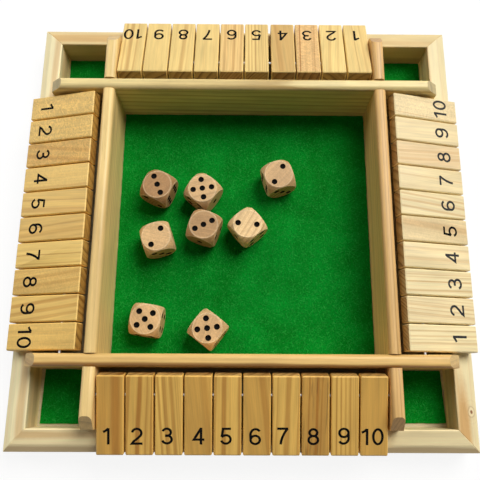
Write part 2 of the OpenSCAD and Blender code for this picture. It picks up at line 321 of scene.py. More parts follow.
# Ovals of the frame as (place outward, place along, half width, half length) in mm: a knot, and
# brown patches with their strength
FRAME_KNOTS = {"right": (2.2, -125.0, 6.2, 8.4)}
KNOT_BROWN = srgb(140, 84, 40)
KNOT_PALE = srgb(252, 234, 190)
FRAME_PATCHES = {"front": (-4.0, -150.0, 3.4, 86.0, 0.6), "right": (-3.4, -140.0, 6.0, 46.0, 1.0),
                 "back": (-1.0, 118.0, 5.6, 70.0, 0.6)}
PATCH_BROWN = srgb(210, 168, 108)
OVAL_UNEVENNESS = 0.16
# How much of its colour the inner side of a member or rail shows at each height, from 0 at its
# foot to 1 at its top, as stops of (height, level), a level of 1 standing for INNER_GAIN. This is
# painted shade on the frame's sides that face the tray, and painted light on the right rail's side
INNER_GAIN = 1.25
FRAME_INNER_PAINTED_SHADE = {
    "right": ((0.15, 0.8), (0.32, 0.78), (0.4, 0.46), (0.58, 0.52), (0.64, 0.44), (0.8, 0.56),
              (0.97, 0.5)),
    "back": ((0.15, 0.44), (0.4, 0.43), (0.5, 0.53), (0.97, 0.49)),
    "left": ((0.15, 0.8), (0.32, 0.78), (0.4, 0.52), (0.6, 0.56), (0.66, 0.66), (0.97, 0.58)),
}
RAIL_INNER_PAINTED_LIGHT = {"right": ((0.0, 0.96), (1.0, 0.96))}

# Each die: its top, front and right faces, whether the pips of its top 2 or 3 run down from the
# left, how brown it is, how its grain slants on its top and how it is turned in part.scad, both
# in degrees, and its grain. The browner dice aren't pink.
Die = namedtuple("Die", "top front right falls brown slant yaw grain", defaults=(DIE_PLAIN,))
DICE = {
    1: Die(3, 2, 6, True, 0.82, 20, -22.5),
    2: Die(5, 4, 1, True, 0.4, 40, -36),
    3: Die(2, 3, 1, False, 0.46, 60, 18),
    4: Die(3, 1, 2, False, 0.7, 80, -18.8),
    5: Die(2, 4, 6, True, -0.1, 70, 39.8, DIE_STRIPED),
    6: Die(2, 3, 1, False, 0.34, 120, 17.4),
    7: Die(5, 6, 4, True, 0.4, 140, -7.8),
    8: Die(5, 6, 4, True, 0.42, 160, -37.2),
}
DIE_BLUSH = 0.15
PINK_BELOW = 0.5
CORNER_PIPS = [(-1, 1), (1, -1), (-1, -1), (1, 1)]
PIP_PLACES = {1: [(0, 0)], 2: CORNER_PIPS[:2], 3: [*CORNER_PIPS[:2], (0, 0)], 4: CORNER_PIPS,
              5: [*CORNER_PIPS, (0, 0)], 6: [*CORNER_PIPS, (-1, 0), (1, 0)]}

# Seeds of the random draws
TILE_SEEDS_PER_ROW = 20
FRAME_SEED = 101
RAIL_SEED = 111
PANEL_SEED = 121
DIE_SEED = 300
NUMBER_SEED = 7
FELT_SEED = 5


class Nodes:
    """Short calls that add and join the nodes of one material or group."""

    def __init__(self, tree):
        self.tree = tree
        tree.nodes.clear()

    def add(self, kind, **values):
        node = self.tree.nodes.new(kind)
        for name, value in values.items():
            setattr(node, name, value)
        return node

    def link(self, source, target):
        self.tree.links.new(source, target)

    def feed(self, socket, value):
        if isinstance(value, bpy.types.NodeSocket):
            self.link(value, socket)
        else:
            socket.default_value = value

    def fill(self, node, values):
        """Feeds the inputs of a node by their names or numbers."""
        for name, value in values.items():
            self.feed(node.inputs[name], value)

    def result(self, node, values):
        """The output of a node whose inputs are fed in turn."""
        for socket, value in zip(node.inputs, values):
            self.feed(socket, value)
        return node.outputs[0]

    def math(self, operation, *values):
        return self.result(self.add("ShaderNodeMath", operation=operation), values)

    def times(self, first, second, added=0.0):
        """first times second, and what is added to that."""
        return self.math("MULTIPLY_ADD", first, second, added)

    def highest(self, first, *others):
        for other in others:
            first = self.math("MAXIMUM", first, other)
        return first

    def swing(self, level, strength):
        """1 where the level is 0.5, and more or less where the level is."""
        return self.times(self.math("SUBTRACT", level, 0.5), strength, 1.0)

    def vector(self, operation, *values):
        return self.result(self.add("ShaderNodeVectorMath", operation=operation), values)

    def split(self, vector):
        """The X, Y and Z of a vector."""
        node = self.add("ShaderNodeSeparateXYZ")
        self.link(vector, node.inputs[0])
        return node.outputs[:3]

    def mapped(self, vector, kind, turn, shift=(0, 0, 0)):
        node = self.add("ShaderNodeMapping", vector_type=kind)
        self.fill(node, {"Rotation": turn, "Location": shift, "Vector": vector})
        return node.outputs[0]

    def mix(self, factor, first, second, blend="MIX"):
        node = self.add("ShaderNodeMix", data_type="RGBA", blend_type=blend)
        self.fill(node, {0: factor, 6: first, 7: second})
        return node.outputs[2]

    def noise(self, vector, scale, detail=2.0, roughness=0.5, distortion=0.0):
        """Noise about 0.5, whose scale is one number or three, for X, Y and Z."""
        if isinstance(scale, tuple):
            vector = self.vector("MULTIPLY", vector, scale)
            scale = 1.0
        node = self.add("ShaderNodeTexNoise")
        self.fill(node, {"Vector": vector, "Scale": scale, "Detail": detail,
                         "Roughness": roughness, "Distortion": distortion})
        return node.outputs[0]

    def ramp(self, factor, *stops):
        """Straight lines between (place, level) stops."""
        node = self.add("ShaderNodeValToRGB")
        stretch = node.color_ramp
        while len(stretch.elements) < len(stops):
            stretch.elements.new(0.5)
        for element, (place, level) in zip(stretch.elements, stops):
            element.position = place
            element.color = (level, level, level, 1)
        self.feed(node.inputs[0], factor)
        return node.outputs[0]


def new_material(name):
    material = bpy.data.materials.new(name)
    material.use_nodes = True
    nodes = Nodes(material.node_tree)
    shader = nodes.add("ShaderNodeBsdfPrincipled")
    output = nodes.add("ShaderNodeOutputMaterial")
    nodes.link(shader.outputs[0], output.inputs[0])
    return material, nodes, shader


def bump(nodes, shader, height, strength, distance):
    node = nodes.add("ShaderNodeBump")
    nodes.fill(node, {"Strength": strength, "Distance": distance, "Height": height})
    nodes.link(node.outputs[0], shader.inputs["Normal"])


def gained(colour, gain):
    """A colour made lighter or darker."""
    return [level * gain for level in colour[:3]] + [1.0]


# ---- wood

def wood_group():
    """Growth rings about an axis along Y, with fibres along it. Lengths are in metres."""
    tree = bpy.data.node_groups.new("wood_grain", "ShaderNodeTree")
    for name in ("Place", "Spacing", "Wave", "Seed"):
        kind = "NodeSocketVector" if name == "Place" else "NodeSocketFloat"
        tree.interface.new_socket(name, in_out="INPUT", socket_type=kind)
    for name in ("Radius", "Ring", "Fibre", "Cloud", "Streak", "Figure"):
        tree.interface.new_socket(name, in_out="OUTPUT", socket_type="NodeSocketFloat")
    nodes = Nodes(tree)
    given = nodes.add("NodeGroupInput")
    result = nodes.add("NodeGroupOutput").inputs
    place, spacing, wave, seed = given.outputs[:4]
    shifted = nodes.vector("ADD", place, nodes.vector("MULTIPLY", SEED_SHIFT, seed))

    # The rings wander slowly along the trunk and a little across it
    wander = nodes.math("SUBTRACT", nodes.noise(shifted, WANDER_SCALE), 0.5)
    x, _, z = nodes.split(place)
    even = nodes.math("SQRT", nodes.math("ADD", nodes.times(x, x), nodes.times(z, z)))
    radius = nodes.times(wander, nodes.times(wave, 4.0), even)
    nodes.link(radius, result["Radius"])
    age = nodes.math("DIVIDE", radius, spacing)
    year = nodes.add("ShaderNodeTexWhiteNoise", noise_dimensions="1D")
    nodes.link(nodes.math("ADD", nodes.math("FLOOR", age), seed), year.inputs["W"])
    strength = nodes.times(year.outputs["Value"], 0.6, 0.4)
    line = nodes.ramp(nodes.math("FRACT", age), (0.0, 0.25), (0.10, 0.04), (0.5, 0.10),
                      (0.80, 0.75), (0.93, 1.0), (1.0, 0.25))
    nodes.link(nodes.times(line, strength), result["Ring"])

    # Fibres are long thin streaks
    thin = nodes.noise(shifted, THIN_FIBRE_SCALE, 3.0, 0.6)
    wide = nodes.noise(shifted, WIDE_FIBRE_SCALE)
    nodes.link(nodes.times(nodes.math("ADD", thin, wide), 0.5), result["Fibre"])
    nodes.link(nodes.noise(shifted, CLOUD_SCALE), result["Cloud"])
    dark = nodes.noise(shifted, STREAK_SCALE, 3.0, 0.6)
    nodes.link(nodes.ramp(dark, (0.54, 0.0), (0.68, 1.0)), result["Streak"])
    curl = nodes.noise(shifted, FIGURE_SCALE, 3.0, 0.6, 2.4)
    nodes.link(nodes.ramp(curl, (0.36, 0.0), (0.50, 0.45), (0.64, 1.0)), result["Figure"])
    return tree


WOOD_GROUP = wood_group()


def tree_grain(nodes, local, look, seed):
    """The outputs of the wood group for a piece cut from a tree whose middle is to one side."""
    pith = look.grain.pith
    lean = radians(look.lean)
    chance = random.Random(seed)
    turn = (radians(chance.uniform(-TREE_SLANT, TREE_SLANT)), 0, radians(look.slant))
    shift = (-pith * cos(lean), 0, -pith * sin(lean))
    group = nodes.add("ShaderNodeGroup", node_tree=WOOD_GROUP)
    nodes.fill(group, {"Place": nodes.mapped(local, "POINT", turn, shift),
                       "Spacing": look.grain.spacing * chance.uniform(*SPACING_SPREAD),
                       "Wave": look.grain.wave, "Seed": seed % SEED_WRAP * SEED_STEP})
    return group.outputs


def line_stops(look, top):
    """Stops of a ramp over the rings, with a soft dark band where each line meets the top."""
    pith = look.grain.pith
    lean = radians(look.lean)
    axis = (pith * cos(lean), pith * sin(lean))
    stops = []
    for across, half, strength in look.lines:
        core = LINE_CORE * half
        for x, level in ((across - half, 0.0), (across - core, strength),
                         (across + core, strength), (across + half, 0.0)):
            edge = hypot(x * MM - axis[0], top - axis[1]) - pith
            stops.append(((edge + LINE_REACH) / (2 * LINE_REACH), level))
    return sorted(stops)


def grown_colour(nodes, grown, end, pale, dark, look, end_lines, top):
    """The colour that rings, broad lines and streaks give. Cut ends show the rings plainly."""
    grain = look.grain
    base = [p + (d - p) * look.brown for p, d in zip(pale, dark)]
    base = [b + (pink - b) * look.blush * BLUSH_SHARE for b, pink in zip(base, BLUSH)]
    share = nodes.times(end, end_lines - grain.contrast, grain.contrast)
    late = nodes.mix(end, dark, gained(dark, LATE_END_GAIN))
    colour = nodes.mix(nodes.times(grown["Ring"], share), base, late)
    if look.lines:
        reach = nodes.math("SUBTRACT", grown["Radius"], grain.pith)
        reach = nodes.times(reach, 0.5 / LINE_REACH, 0.5)
        band = nodes.ramp(reach, *line_stops(look, top))
        seen = nodes.times(end, end_lines - 1.0, 1.0)
        colour = nodes.mix(nodes.times(band, seen), colour, dark)
    if look.streaks:
        share = nodes.times(grown["Streak"], STREAK_SHARE * look.streaks)
        colour = nodes.mix(share, colour, STREAK_BROWN)
    return colour


def oval(nodes, local, across, along, half_width, half_length):
    """The distance from the middle of an oval along the grain, 1 at its edge."""
    x, y, _ = nodes.split(local)
    squares = []
    for place, middle, half in ((x, across, half_width), (y, along, half_length)):
        share = nodes.math("DIVIDE", nodes.math("SUBTRACT", place, middle * MM), half * MM)
        squares.append(nodes.times(share, share))
    uneven = nodes.math("SUBTRACT", nodes.noise(local, 420.0), 0.5)
    return nodes.times(uneven, OVAL_UNEVENNESS, nodes.math("SQRT", nodes.math("ADD", *squares)))


def knotted(nodes, colour, local, knot):
    """A colour with a knot: a dark core in a pale ring, and faint dark rings about that."""
    distance = oval(nodes, local, *knot)
    dark = nodes.ramp(distance, (0.0, 1.0), (0.10, 0.95), (0.17, 0.1), (0.30, 0.02), (0.38, 0.34),
                      (0.48, 0.06), (0.80, 0.0), (0.88, 0.08), (0.96, 0.0))
    pale = nodes.ramp(distance, (0.12, 0.0), (0.18, 0.9), (0.29, 0.9), (0.35, 0.0))
    colour = nodes.mix(nodes.times(pale, KNOT_PALE_SHARE), colour, KNOT_PALE)
    return nodes.mix(dark, colour, KNOT_BROWN)


def rubbed_rim(nodes, local, half):
    """1 where a flat face of a die meets its round corners, which are pale: part wear, part painted
    highlight.
    """
    length = nodes.add("ShaderNodeVectorMath", operation="LENGTH")
    nodes.link(local, length.inputs[0])
    highest = nodes.highest(*nodes.split(nodes.vector("ABSOLUTE", local)))
    marks = [nodes.ramp(nodes.math("DIVIDE", nodes.math("SUBTRACT", full, reach), RIM_WIDTH),
                        (0.0, 1.0), (1.0, 0.0))
             for full, reach in ((DIE_ROUND, length.outputs["Value"]), (half, highest))]
    return nodes.times(*marks)


def worn_edges(nodes, facing, strength):
    """How pale the eased edges are, whose faces look along none of the axes: part wear, part painted
    highlight.
    """
    squareness = nodes.highest(*[nodes.math("ABSOLUTE", part) for part in facing])
    return nodes.ramp(squareness, (0.80, strength), (0.98, 0.0))


def wood_shade(nodes, grown, look):
    """How much lighter or darker clouds, fibres and figure make the wood."""
    clouds = nodes.swing(grown["Cloud"], CLOUD_SWING + THREAD_CLOUD_SWING * look.thread)
    shade = nodes.times(clouds, nodes.swing(grown["Fibre"], look.thread))
    if look.figure:
        curl = nodes.swing(grown["Figure"], FIGURE_SWING * look.figure)
        shade = nodes.times(shade, curl)
    return shade


def inner_shade(nodes, local, facing, stops, top):
    """Painted shade and light on the side that faces the tray: how much of its colour it shows, and 1
    on all other sides.
    """
    height = nodes.times(nodes.split(local)[2], 0.5 / top, 0.5)
    change = nodes.times(nodes.ramp(height, *stops), INNER_GAIN, -1.0)
    faces_in = nodes.math("LESS_THAN", facing[0], -INWARD_FROM)
    return nodes.times(change, faces_in, 1.0)


def varnish(nodes, shader, grown, look, roughness):
    rough = nodes.times(grown["Fibre"], FIBRE_ROUGHNESS, roughness - ROUGHNESS_DROP)
    nodes.fill(shader, {"Roughness": rough, "IOR": VARNISH_IOR})
    height = nodes.math("SUBTRACT", grown["Fibre"], nodes.times(grown["Ring"], RING_RELIEF))
    if look.figure:
        height = nodes.times(grown["Figure"], FIGURE_RELIEF * look.figure, height)
    bump(nodes, shader, height, GRAIN_BUMP, GRAIN_DEPTH)


def wood(node, colours, turn, centre, seed, look, end_tint, top=0.0, roughness=0.42,
         end_from=END_FROM, end_lines=END_LINES, patch=None, knot=None, rim=None, edge_wear_highlight=0.0,
         inner=None):
    """A varnished wood whose grain runs along the local Y that turn gives.

    turn and centre are the piece's own axes, top is how high it is over its centre, rim is half
    the width of a die, and the rest are marks that only some pieces have.
    """
    material, nodes, shader = new_material(f"{node}_wood")
    pale, dark = [srgb(*colour) for colour in colours]
    coordinates = nodes.add("ShaderNodeTexCoord")
    local = nodes.mapped(coordinates.outputs["Object"], "TEXTURE", turn, centre)
    facing = nodes.split(nodes.mapped(coordinates.outputs["Normal"], "TEXTURE", turn))
    grown = tree_grain(nodes, local, look, seed)
    end = nodes.ramp(nodes.math("ABSOLUTE", facing[1]), (end_from, 0.0),
                     (end_from + END_SOFTNESS, 1.0))
    colour = grown_colour(nodes, grown, end, pale, dark, look, end_lines, top)
    if patch:
        *place, strength = patch
        brown = nodes.ramp(oval(nodes, local, *place), (0.45, strength), (1.0, 0.0))
        colour = nodes.mix(brown, colour, PATCH_BROWN)
    if knot:
        colour = knotted(nodes, colour, local, knot)
    # A pale rim on the die, part wear and part painted highlight
    if rim:
        rim_wear_highlight = nodes.times(rubbed_rim(nodes, local, rim), RIM_WEAR_AND_HIGHLIGHT_SHARE)
        colour = nodes.mix(rim_wear_highlight, colour, RIM_WEAR_AND_HIGHLIGHT_PALE)
    # Pale eased edges, part wear and part painted highlight
    if edge_wear_highlight:
        colour = nodes.mix(worn_edges(nodes, facing, edge_wear_highlight), colour, gained(pale, EDGE_WEAR_AND_HIGHLIGHT_GAIN))
    shade = wood_shade(nodes, grown, look)
    # Painted shade and light on the sides that face the tray
    if inner:
        shade = nodes.times(shade, inner_shade(nodes, local, facing, inner, top))
    colour = nodes.vector("MULTIPLY", colour, shade)
    # Cut ends take their tint, which on the tiles and rails also holds painted shade and light
    colour = nodes.mix(end, colour, nodes.mix(1.0, colour, (*end_tint, 1.0), "MULTIPLY"))
    nodes.link(colour, shader.inputs["Base Color"])
    varnish(nodes, shader, grown, look, roughness)
    return material


# ---- other materials

def felt_material():
    """Dense green wool: cloudy tone, and short pale fibres lying every way."""
    material, nodes, shader = new_material("green_felt")
    place = nodes.add("ShaderNodeTexCoord").outputs["Object"]
    cloud = nodes.noise(place, 48.0, 3.0, 0.6)
    nap = nodes.noise(place, 800.0, 3.0, 0.65)
    colour = nodes.mix(nodes.ramp(cloud, (0.3, 0.0), (0.7, 1.0)), *FELT_TONES)
    colour = nodes.mix(nodes.ramp(nap, (0.3, 0.55), (0.65, 0.0)), colour, FELT_DEEP)
    hairs = []
    for turn, shift in ((0.3, 0.1), (1.1, 0.7), (1.9, 1.9), (2.7, 1.3)):
        turned = nodes.mapped(place, "POINT", (0, 0, turn), (shift, shift, 0))
        bent = nodes.noise(turned, (1500, 300, 1), 2.0, 0.5, 0.6)
        hairs.append(nodes.ramp(bent, (0.60, 0.0), (0.70, 1.0)))
    hair = nodes.highest(*hairs)
    colour = nodes.mix(nodes.times(hair, 0.34), colour, FELT_HAIR)
    nodes.fill(shader, {"Base Color": colour, "Roughness": 1.0, "Specular IOR Level": 0.06,
                        "Sheen Weight": 0.10, "Sheen Roughness": 0.6, "Sheen Tint": FELT_SHEEN})
    bump(nodes, shader, nodes.math("ADD", nap, nodes.times(hair, 0.6)), 0.7, 0.35 * MM)
    return material


def steel_material():
    """Bright drawn steel, in slightly uneven tones."""
    material, nodes, shader = new_material("rod_steel")
    drawn = nodes.noise(nodes.add("ShaderNodeTexCoord").outputs["Object"], 1800.0)
    nodes.fill(shader, {"Base Color": nodes.mix(drawn, *STEEL_TONES), "Metallic": 1.0,
                        "Roughness": nodes.times(drawn, 0.2, 0.2)})
    return material


def paint_material(name, tones):
    """Flat printing ink, a little uneven where it sank into the grain."""
    material, nodes, shader = new_material(name)
    uneven = nodes.noise(nodes.add("ShaderNodeTexCoord").outputs["Object"], 1400.0, 3.0, 0.6)
    colour = nodes.mix(nodes.ramp(uneven, (0.35, 0.0), (0.75, 1.0)), *tones)
    nodes.fill(shader, {"Base Color": colour, "Roughness": nodes.times(uneven, 0.3, 0.5),
                        "Specular IOR Level": 0.06})
    bump(nodes, shader, uneven, 0.2, 0.05 * MM)
    return material


# ---- shapes

def dress(node, material):
    slots = frame["nodes"][node].data.materials
    slots.clear()
    slots.append(material)


def ease_edges(node, width):
    """Rounds a CAD node's sharp edges a little with modifiers, its mesh left as it is."""
    piece = frame["nodes"][node]
    weld = piece.modifiers.new("weld", "WELD")
    weld.merge_threshold = WELD_REACH
    bevel = piece.modifiers.new("bevel", "BEVEL")
    bevel.width = width
    bevel.segments = 3
    bevel.limit_method = "ANGLE"
    bevel.angle_limit = EASED_FROM
    bevel.harden_normals = True


def local_box(node, turn):
    """Middle, in the frame's axes, and half size, in its own, of a node turned by turn."""
    back = turn.to_matrix().transposed()
    points = [back @ v.co for v in frame["nodes"][node].data.vertices]
    low = Vector(min(p[i] for p in points) for i in range(3))
    high = Vector(max(p[i] for p in points) for i in range(3))
    return turn.to_matrix() @ ((low + high) / 2), (high - low) / 2


def add_object(name, data):
    thing = bpy.data.objects.new(name, data)
    bpy.context.scene.collection.objects.link(thing)
    return thing


def mesh_of(name, bm):
    """The mesh that bm holds, which is freed."""
    mesh = bpy.data.meshes.new(name)
    bm.to_mesh(mesh)
    bm.free()
    return mesh


def combine(piece, operation, other):
    """Joins, cuts or keeps what is shared of another piece, with a modifier."""
    change = piece.modifiers.new(operation, "BOOLEAN")
    change.operation = operation
    change.object = other
    change.solver = "EXACT"
    return change


def final_mesh(pieces):
    """The mesh that the first piece's modifiers give, with all the pieces then removed."""
    bpy.context.view_layer.update()
    shape = pieces[0].evaluated_get(bpy.context.evaluated_depsgraph_get())
    mesh = bpy.data.meshes.new_from_object(shape)
    for piece in pieces:
        bpy.data.objects.remove(piece)
    return mesh


# ---- camera, light and floor

def make_camera():
    data = bpy.data.cameras.new("camera")
    data.lens = CAMERA_LENS
    data.shift_x, data.shift_y = CAMERA_SHIFT
    data.clip_start = CAMERA_NEAR
    camera = add_object("camera", data)
    turn = (Matrix.Rotation(CAMERA_YAW, 4, "Z") @ Matrix.Rotation(CAMERA_TILT, 4, "X")
            @ Matrix.Rotation(CAMERA_ROLL, 4, "Z"))
    camera.matrix_world = Matrix.Translation(CAMERA_PLACE) @ turn
    bpy.context.scene.camera = camera


def area_light(name, place, size, power, colour):
    """A round lamp that faces the middle of the object's underside."""
    data = bpy.data.lights.new(name, "AREA")
    data.shape = "DISK"
    data.size = size
    data.energy = power
    data.color = colour
    light = add_object(name, data)
    light.location = place
    light.rotation_euler = (-Vector(place)).to_track_quat("-Z", "Y").to_euler()


def seen_directly(nodes):
    """1 for rays from the camera, off a mirror or through glass, otherwise 0."""
    rays = nodes.add("ShaderNodeLightPath").outputs
    return nodes.highest(rays["Is Camera Ray"], rays["Is Glossy Ray"], rays["Is Transmission Ray"])


def make_world():
    """A faint light from every side, which looks white where it is seen directly."""
    world = bpy.data.worlds.new("world")
    bpy.context.scene.world = world
    world.use_nodes = True
    nodes = Nodes(world.node_tree)
    choice = nodes.add("ShaderNodeMixShader")
    nodes.link(seen_directly(nodes), choice.inputs[0])
    for socket, colour, strength in ((1, AMBIENT_COLOUR, AMBIENT), (2, (1, 1, 1), 1.0)):
        light = nodes.add("ShaderNodeBackground")
        nodes.fill(light, {"Color": (*colour, 1), "Strength": strength})
        nodes.link(light.outputs[0], choice.inputs[socket])
    nodes.link(choice.outputs[0], nodes.add("ShaderNodeOutputWorld").inputs[0])


def make_floor():
    """A plain pale floor that looks white to the camera, with the object's shadow on it."""
    corners = [(x * FLOOR_HALF, y * FLOOR_HALF, 0) for x, y in ((-1, -1), (1, -1), (1, 1), (-1, 1))]
    mesh = bpy.data.meshes.new("floor")
    mesh.from_pydata(corners, [], [(0, 1, 2, 3)])
    floor = add_object("floor", mesh)
    floor.location.z = -FLOOR_DROP
    material, nodes, shader = new_material("floor")
    output = shader.outputs[0].links[0].to_socket
    nodes.fill(shader, {"Base Color": FLOOR_COLOUR, "Roughness": 0.9, "Specular IOR Level": 0.1})
    glow = nodes.add("ShaderNodeEmission")
    nodes.fill(glow, {"Strength": FLOOR_GLOW})
    share = nodes.times(seen_directly(nodes), FLOOR_GLOW_SHARE)
    whiter = nodes.add("ShaderNodeMixShader")
    nodes.link(nodes.result(whiter, (share, shader.outputs[0], glow.outputs[0])), output)
    mesh.materials.append(material)


# ---- numbers

def arc(x, y, wide, high, start, end, steps=22):
    """Points on an ellipse from one angle to another, in degrees."""
    turns = [radians(start + (end - start) * i / steps) for i in range(steps + 1)]
    return [(x + wide * cos(t), y + high * sin(t)) for t in turns]


# Each digit's strokes: points, and whether they close. 9 is 6 turned about.
DIGIT_STROKES = {
    "0": [(arc(0, 0.5, 0.245, 0.44, 0, 360, 44)[:-1], True)],
    "1": [([(0.08, 0.0), (0.08, 0.97)], False),
          ([(0.075, 0.945), (-0.02, 0.85), (-0.12, 0.78), (-0.20, 0.745)], False)],
    "2": [(arc(0, 0.685, 0.245, 0.255, 172, -38)
           + [(0.02, 0.345), (-0.16, 0.20), (-0.25, 0.06), (0.31, 0.06)], False)],
    "3": [(arc(-0.01, 0.725, 0.215, 0.215, 165, -88) + [(-0.10, 0.51)], False),
          ([(-0.10, 0.525)] + arc(0, 0.30, 0.25, 0.235, 92, -165), False)],
    "4": [([(0.12, 0.97), (-0.26, 0.29), (0.30, 0.29)], False),
          ([(0.12, 0.0), (0.12, 1.0)], False)],
    "5": [([(0.27, 0.94), (-0.15, 0.94), (-0.225, 0.46)], False),
          (arc(0, 0.31, 0.25, 0.25, 150, -165), False)],
    "6": [(arc(0.01, 0.305, 0.245, 0.245, 0, 360, 40)[:-1], True),
          (arc(0.03, 0.60, 0.275, 0.34, 38, 178) + [(-0.235, 0.42), (-0.232, 0.32)], False)],
    "7": [([(-0.29, 0.94), (0.30, 0.94)], False),
          ([(0.27, 0.95), (0.12, 0.72), (0.0, 0.46), (-0.07, 0.22), (-0.10, 0.0)], False)],
    "8": [(arc(0, 0.735, 0.205, 0.205, 0, 360, 36)[:-1], True),
          (arc(0, 0.30, 0.25, 0.24, 0, 360, 40)[:-1], True)],
}
HALF_TURN = Matrix.Rotation(pi, 4, "Z")


def stroke_edges(points, closed):
    """The two edges of a stroke of the pen along points, mitred where it turns."""
    points = [Vector(point) for point in points]
    ways = [(b - a).normalized() for a, b in zip(points, points[1:] + points[:1])]
    if not closed:
        ways[-1] = ways[-2]
    left, right = [], []
    for i, here in enumerate(points):
        before = ways[i - 1] if closed or i else ways[0]
        way = (before + ways[i]).normalized()
        reach = STROKE_WIDTH / 2 / max(way.dot(before), MITRE_LIMIT)
        side = Vector((-way.y, way.x)) * reach
        left.append(here + side)
        right.append(here - side)
    return left, right


def stroke_mesh(points, closed):
    """A stroke of the pen as a closed flat strip, in a digit's own units."""
    bm = bmesh.new()
    rows = [[bm.verts.new((p.x, p.y, z)) for p in pair for z in (0.0, STROKE_THICKNESS)]
            for pair in zip(*stroke_edges(points, closed))]
    count = len(rows)
    for i in range(count if closed else count - 1):
        a, b = rows[i], rows[(i + 1) % count]
        for face in ((a[1], b[1], b[3], a[3]), (a[0], a[2], b[2], b[0]),
                     (a[0], b[0], b[1], a[1]), (a[2], a[3], b[3], b[2])):
            bm.faces.new(face)
    if not closed:
        for row in (rows[0], rows[-1]):
            bm.faces.new((row[0], row[1], row[3], row[2]))
    bmesh.ops.recalc_face_normals(bm, faces=bm.faces)
    return mesh_of("stroke", bm)


def digit_mesh(sign):
    """The mesh of one digit a unit high: its strokes joined into one solid."""
    turned = sign == "9"
    strokes = [add_object("stroke", stroke_mesh(points, closed))
               for points, closed in DIGIT_STROKES["6" if turned else sign]]
    for other in strokes[1:]:
        combine(strokes[0], "UNION", other)
    mesh = final_mesh(strokes)
    if turned:
        middle = Matrix.Translation((0, 0.5, 0))
        mesh.transform(middle @ HALF_TURN @ middle.inverted())
    return mesh


def number_mesh(name, number, digits):
    """The digits of a number side by side, about its middle."""
    bm = bmesh.new()
    signs = str(number)
    for i, sign in enumerate(signs):
        start = len(bm.verts)
        bm.from_mesh(digits[sign])
        bm.verts.ensure_lookup_table()
        shift = (i - (len(signs) - 1) / 2) * TEN_SPACING
        bmesh.ops.translate(bm, verts=bm.verts[start:], vec=(shift, 0, 0))
    return mesh_of(name, bm)


def paint_numbers():
    """A painted number on every tile, each a little astray, that turns with its tile."""
    digits = {sign: digit_mesh(sign) for sign in "0123456789"}
    black = paint_material("number_black", BLACK_INK)
    grey = paint_material("number_grey", GREY_INK)
    size = Matrix.Diagonal((DIGIT_WIDTH, DIGIT_HEIGHT, DIGIT_DEPTH / STROKE_THICKNESS, 1))
    chance = random.Random(NUMBER_SEED)
    for side, angle in SIDES.items():
        turn = Euler((-TILE_SLOPE, 0, angle))
        for number in range(1, TILES_PER_ROW + 1):
            node = f"{side}_tile_{number}"
            middle, half = local_box(node, turn)
            mesh = number_mesh(f"{node}_number", number, digits)
            across = chance.uniform(-DIGIT_STRAY, DIGIT_STRAY)
            inward = INWARD_SHIFTS[side] * MM + chance.uniform(-DIGIT_STRAY, DIGIT_STRAY)
            if side == "front":
                across += FRONT_SHIFTS[number - 1] * MM
            place = (-across, half.y - DIGIT_INSET - inward, half.z + DIGIT_LIFT - DIGIT_DEPTH)
            local = Matrix.Translation(place) @ HALF_TURN @ size
            mesh.transform(Matrix.Translation(middle) @ turn.to_matrix().to_4x4() @ local)
            piece = add_object(f"{node}_number", mesh)
            faded = side == GREY_SIDE and number != BLACK_ON_GREY_SIDE
            mesh.materials.append(grey if faded else black)
            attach(piece, body_of_node[node])


# ---- dice

def die_faces(die):
    """Each face's number, its way out and the two axes of its pips. Opposite faces make 7."""
    x, y, z = Vector((1, 0, 0)), Vector((0, 1, 0)), Vector((0, 0, 1))
    return [(die.top, z, x, y), (7 - die.top, -z, x, -y), (die.front, -y, x, z),
            (7 - die.front, y, -x, z), (die.right, x, y, z), (7 - die.right, -x, -y, z)]


def pip_mesh(die, half):
    """A ball for each pip, sunk a little into its face."""
    bm = bmesh.new()
    radius = (PIP_DIAMETER ** 2 / 4 + PIP_DEPTH ** 2) / (2 * PIP_DEPTH)
    for count, way, across, up in die_faces(die):
        flip = -1 if way.z > 0 and not die.falls else 1
        for a, b in PIP_PLACES[count]:
            middle = way * (half + radius - PIP_DEPTH) + (across * a * flip + up * b) * PIP_OFFSET
            bmesh.ops.create_icosphere(bm, subdivisions=3, radius=radius,
                                       matrix=Matrix.Translation(middle))
    return mesh_of("die_pips", bm)


def drilled_die(die, half, wood_face, black):
    """A drilled die about its own middle: what a cube and a ball share, less its pips."""
    cube = bmesh.new()
    bmesh.ops.create_cube(cube, size=2 * half)
    ball = bmesh.new()
    bmesh.ops.create_uvsphere(ball, u_segments=96, v_segments=64, radius=DIE_ROUND)
    meshes = (mesh_of("die_cube", cube), mesh_of("die_ball", ball), pip_mesh(die, half))
    pieces = [add_object(mesh.name, mesh) for mesh in meshes]
    for mesh, material in zip(meshes, (wood_face, wood_face, black)):
        mesh.materials.append(material)
    for operation, other in zip(("INTERSECT", "DIFFERENCE"), pieces[1:]):
        combine(pieces[0], operation, other).material_mode = "TRANSFER"
    return final_mesh(pieces)


def make_die(number, black):
    """The die as thrown, in place of the CAD's plain one."""
    node = f"die_{number}"
    die = DICE[number]
    yaw = radians(die.yaw)
    low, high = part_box(node)
    middle = (low + high) / 2
    half = (high.z - low.z) / 2
    look = Look(die.grain, die.brown, blush=DIE_BLUSH if die.brown < PINK_BELOW else 0,
                slant=die.slant, figure=0.5, lean=-20, thread=1.1)
    wood_face = wood(node, WOODS["die"], (0, 0, yaw), middle, DIE_SEED + number, look,
                     DIE_END_TINT, roughness=0.5, rim=half)
    mesh = drilled_die(die, half, wood_face, black)
    mesh.transform(Matrix.Translation(middle) @ Matrix.Rotation(yaw, 4, "Z"))
    mesh.name = f"thrown_die_{number}"
    piece = add_object(mesh.name, mesh)
    mesh.shade_smooth()
    mesh.set_sharp_from_angle(angle=DIE_SHARP_FROM)
    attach(piece, body_of_node[node])
    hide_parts(node)


